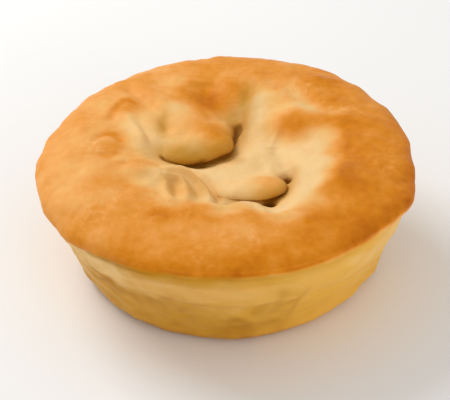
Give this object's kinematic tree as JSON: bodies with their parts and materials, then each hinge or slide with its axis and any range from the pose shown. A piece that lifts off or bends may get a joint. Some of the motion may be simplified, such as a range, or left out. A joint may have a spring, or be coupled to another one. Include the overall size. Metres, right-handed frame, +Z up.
{
  "type": "beef and mushroom pie",
  "caption": "Round, uncut savoury pie turned out of its dish: tapered pale wall, puffed browned rim, and a middle of gathered pastry folds with slits under them.",
  "frame": {"origin": "centre of the flat foot, on the surface the pie stands on", "axes": "+Z up, out of the top; +X to the right and +Y to the back, seen from the side that the free edges of the two tongues of pastry face"},
  "size_m": [0.1186, 0.1182, 0.0434],
  "materials": {
    "pastry": "baked pastry, satin to matt"
  },
  "bodies": {
    "root": {"pie": "pastry"}
  },
  "joints": []
}
